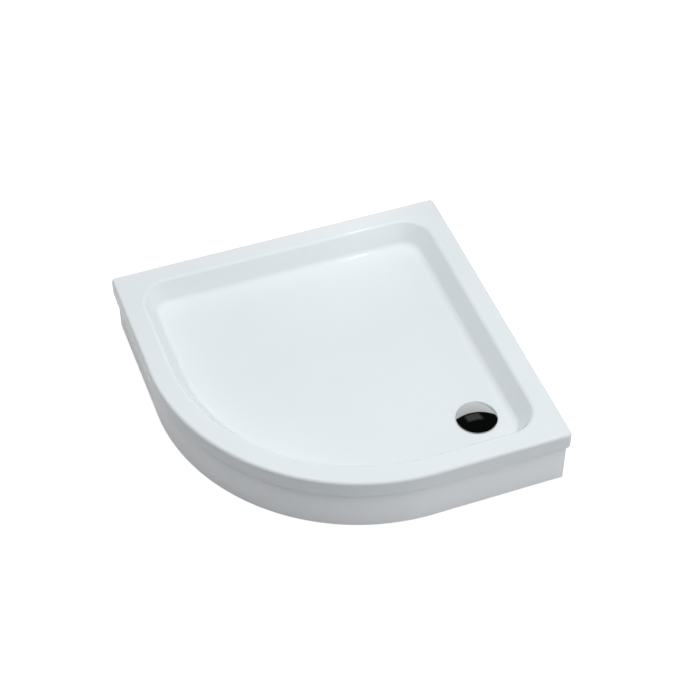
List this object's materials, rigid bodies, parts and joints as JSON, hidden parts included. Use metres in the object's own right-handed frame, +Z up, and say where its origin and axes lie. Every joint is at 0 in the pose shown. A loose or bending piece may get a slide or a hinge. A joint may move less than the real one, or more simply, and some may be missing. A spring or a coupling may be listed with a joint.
{
  "type": "shower tray",
  "caption": "Quadrant shower tray with a round front, flat rim, dished basin, chrome domed waste, pull-off front panel and screw-adjusted feet.",
  "frame": {"origin": "centre of the tray's square plan, on the room floor under the feet", "axes": "+Z up, +X and +Y towards the two walls, the round front towards -X and -Y"},
  "size_m": [0.9, 0.9, 0.174],
  "materials": {
    "sanitary_acrylic": "white cast acrylic, polished",
    "panel_acrylic": "white cast acrylic, polished",
    "laminate": "glass-fibre resin, raw",
    "chipboard": "raw board",
    "zinc_steel": "bright zinc plate",
    "black_nylon": "moulded, fine grain",
    "white_polypropylene": "moulded, satin",
    "grey_polypropylene": "moulded, satin",
    "black_rubber": "moulded",
    "chrome": "polished chrome plate",
    "magnet": "sintered ferrite"
  },
  "bodies": {
    "tray": {"tray_shell": "sanitary_acrylic", "resin_backing": "laminate", "base_board": "chipboard", "socket_screws": "zinc_steel", "bracket_screws": "zinc_steel", "lock_nuts": "zinc_steel", "panel_magnets": "magnet", "waste_flange": "grey_polypropylene", "upper_gasket": "black_rubber", "lower_gasket": "black_rubber", "trap_body": "white_polypropylene", "outlet_nut": "white_polypropylene", "outlet_seal": "black_rubber", "outlet_pipe": "white_polypropylene", "leg_socket_back_left": "black_nylon", "leg_socket_back_right": "black_nylon", "leg_socket_right": "black_nylon", "leg_socket_front": "black_nylon", "leg_socket_front_left": "black_nylon", "panel_bracket_left": "zinc_steel", "panel_bracket_front_left": "zinc_steel", "panel_bracket_front_right": "zinc_steel", "panel_bracket_right": "zinc_steel"},
    "panel": {"front_panel": "panel_acrylic", "strike_plates": "zinc_steel"},
    "insert": {"trap_insert": "grey_polypropylene", "insert_seal": "black_rubber"},
    "cover": {"drain_cover": "chrome", "cover_legs": "grey_polypropylene"},
    "foot_back_left": {"foot_pad_back_left": "black_nylon"},
    "stem_back_left": {"leg_stem_back_left": "zinc_steel"},
    "foot_back_right": {"foot_pad_back_right": "black_nylon"},
    "stem_back_right": {"leg_stem_back_right": "zinc_steel"},
    "foot_right": {"foot_pad_right": "black_nylon"},
    "stem_right": {"leg_stem_right": "zinc_steel"},
    "foot_front": {"foot_pad_front": "black_nylon"},
    "stem_front": {"leg_stem_front": "zinc_steel"},
    "foot_front_left": {"foot_pad_front_left": "black_nylon"},
    "stem_front_left": {"leg_stem_front_left": "zinc_steel"}
  },
  "joints": [
    {"name": "panel_pull", "type": "slide", "parent": "tray", "child": "panel", "axis": [-0.7071, -0.7071, 0], "range_m": [0, 0.15]},
    {"name": "insert_lift", "type": "slide", "parent": "tray", "child": "insert", "axis": [0, 0, 1], "range_m": [0, 0.16]},
    {"name": "cover_lift", "type": "slide", "parent": "insert", "child": "cover", "axis": [0, 0, 1], "range_m": [0, 0.12]},
    {"name": "foot_travel_back_left", "type": "slide", "parent": "tray", "child": "foot_back_left", "axis": [0, 0, -1], "range_m": [-0.01, 0.02]},
    {"name": "stem_turn_back_left", "type": "hinge", "parent": "foot_back_left", "child": "stem_back_left", "pos_m": [-0.27131, 0.27131, 0.012], "axis": [0, 0, -1], "range_deg": [-2200, 4300]},
    {"name": "foot_travel_back_right", "type": "slide", "parent": "tray", "child": "foot_back_right", "axis": [0, 0, -1], "range_m": [-0.01, 0.02]},
    {"name": "stem_turn_back_right", "type": "hinge", "parent": "foot_back_right", "child": "stem_back_right", "pos_m": [0.27131, 0.27131, 0.012], "axis": [0, 0, -1], "range_deg": [-2200, 4300]},
    {"name": "foot_travel_right", "type": "slide", "parent": "tray", "child": "foot_right", "axis": [0, 0, -1], "range_m": [-0.01, 0.02]},
    {"name": "stem_turn_right", "type": "hinge", "parent": "foot_right", "child": "stem_right", "pos_m": [0.27131, -0.075, 0.012], "axis": [0, 0, -1], "range_deg": [-2200, 4300]},
    {"name": "foot_travel_front", "type": "slide", "parent": "tray", "child": "foot_front", "axis": [0, 0, -1], "range_m": [-0.01, 0.02]},
    {"name": "stem_turn_front", "type": "hinge", "parent": "foot_front", "child": "stem_front", "pos_m": [0.075, -0.27131, 0.012], "axis": [0, 0, -1], "range_deg": [-2200, 4300]},
    {"name": "foot_travel_front_left", "type": "slide", "parent": "tray", "child": "foot_front_left", "axis": [0, 0, -1], "range_m": [-0.01, 0.02]},
    {"name": "stem_turn_front_left", "type": "hinge", "parent": "foot_front_left", "child": "stem_front_left", "pos_m": [-0.16256, -0.16256, 0.012], "axis": [0, 0, -1], "range_deg": [-2200, 4300]}
  ],
  "couplings": [
    {"joint": "stem_turn_back_left", "follows": "foot_travel_back_left", "rad_per_m": 3590.4},
    {"joint": "stem_turn_back_right", "follows": "foot_travel_back_right", "rad_per_m": 3590.4},
    {"joint": "stem_turn_right", "follows": "foot_travel_right", "rad_per_m": 3590.4},
    {"joint": "stem_turn_front", "follows": "foot_travel_front", "rad_per_m": 3590.4},
    {"joint": "stem_turn_front_left", "follows": "foot_travel_front_left", "rad_per_m": 3590.4}
  ]
}
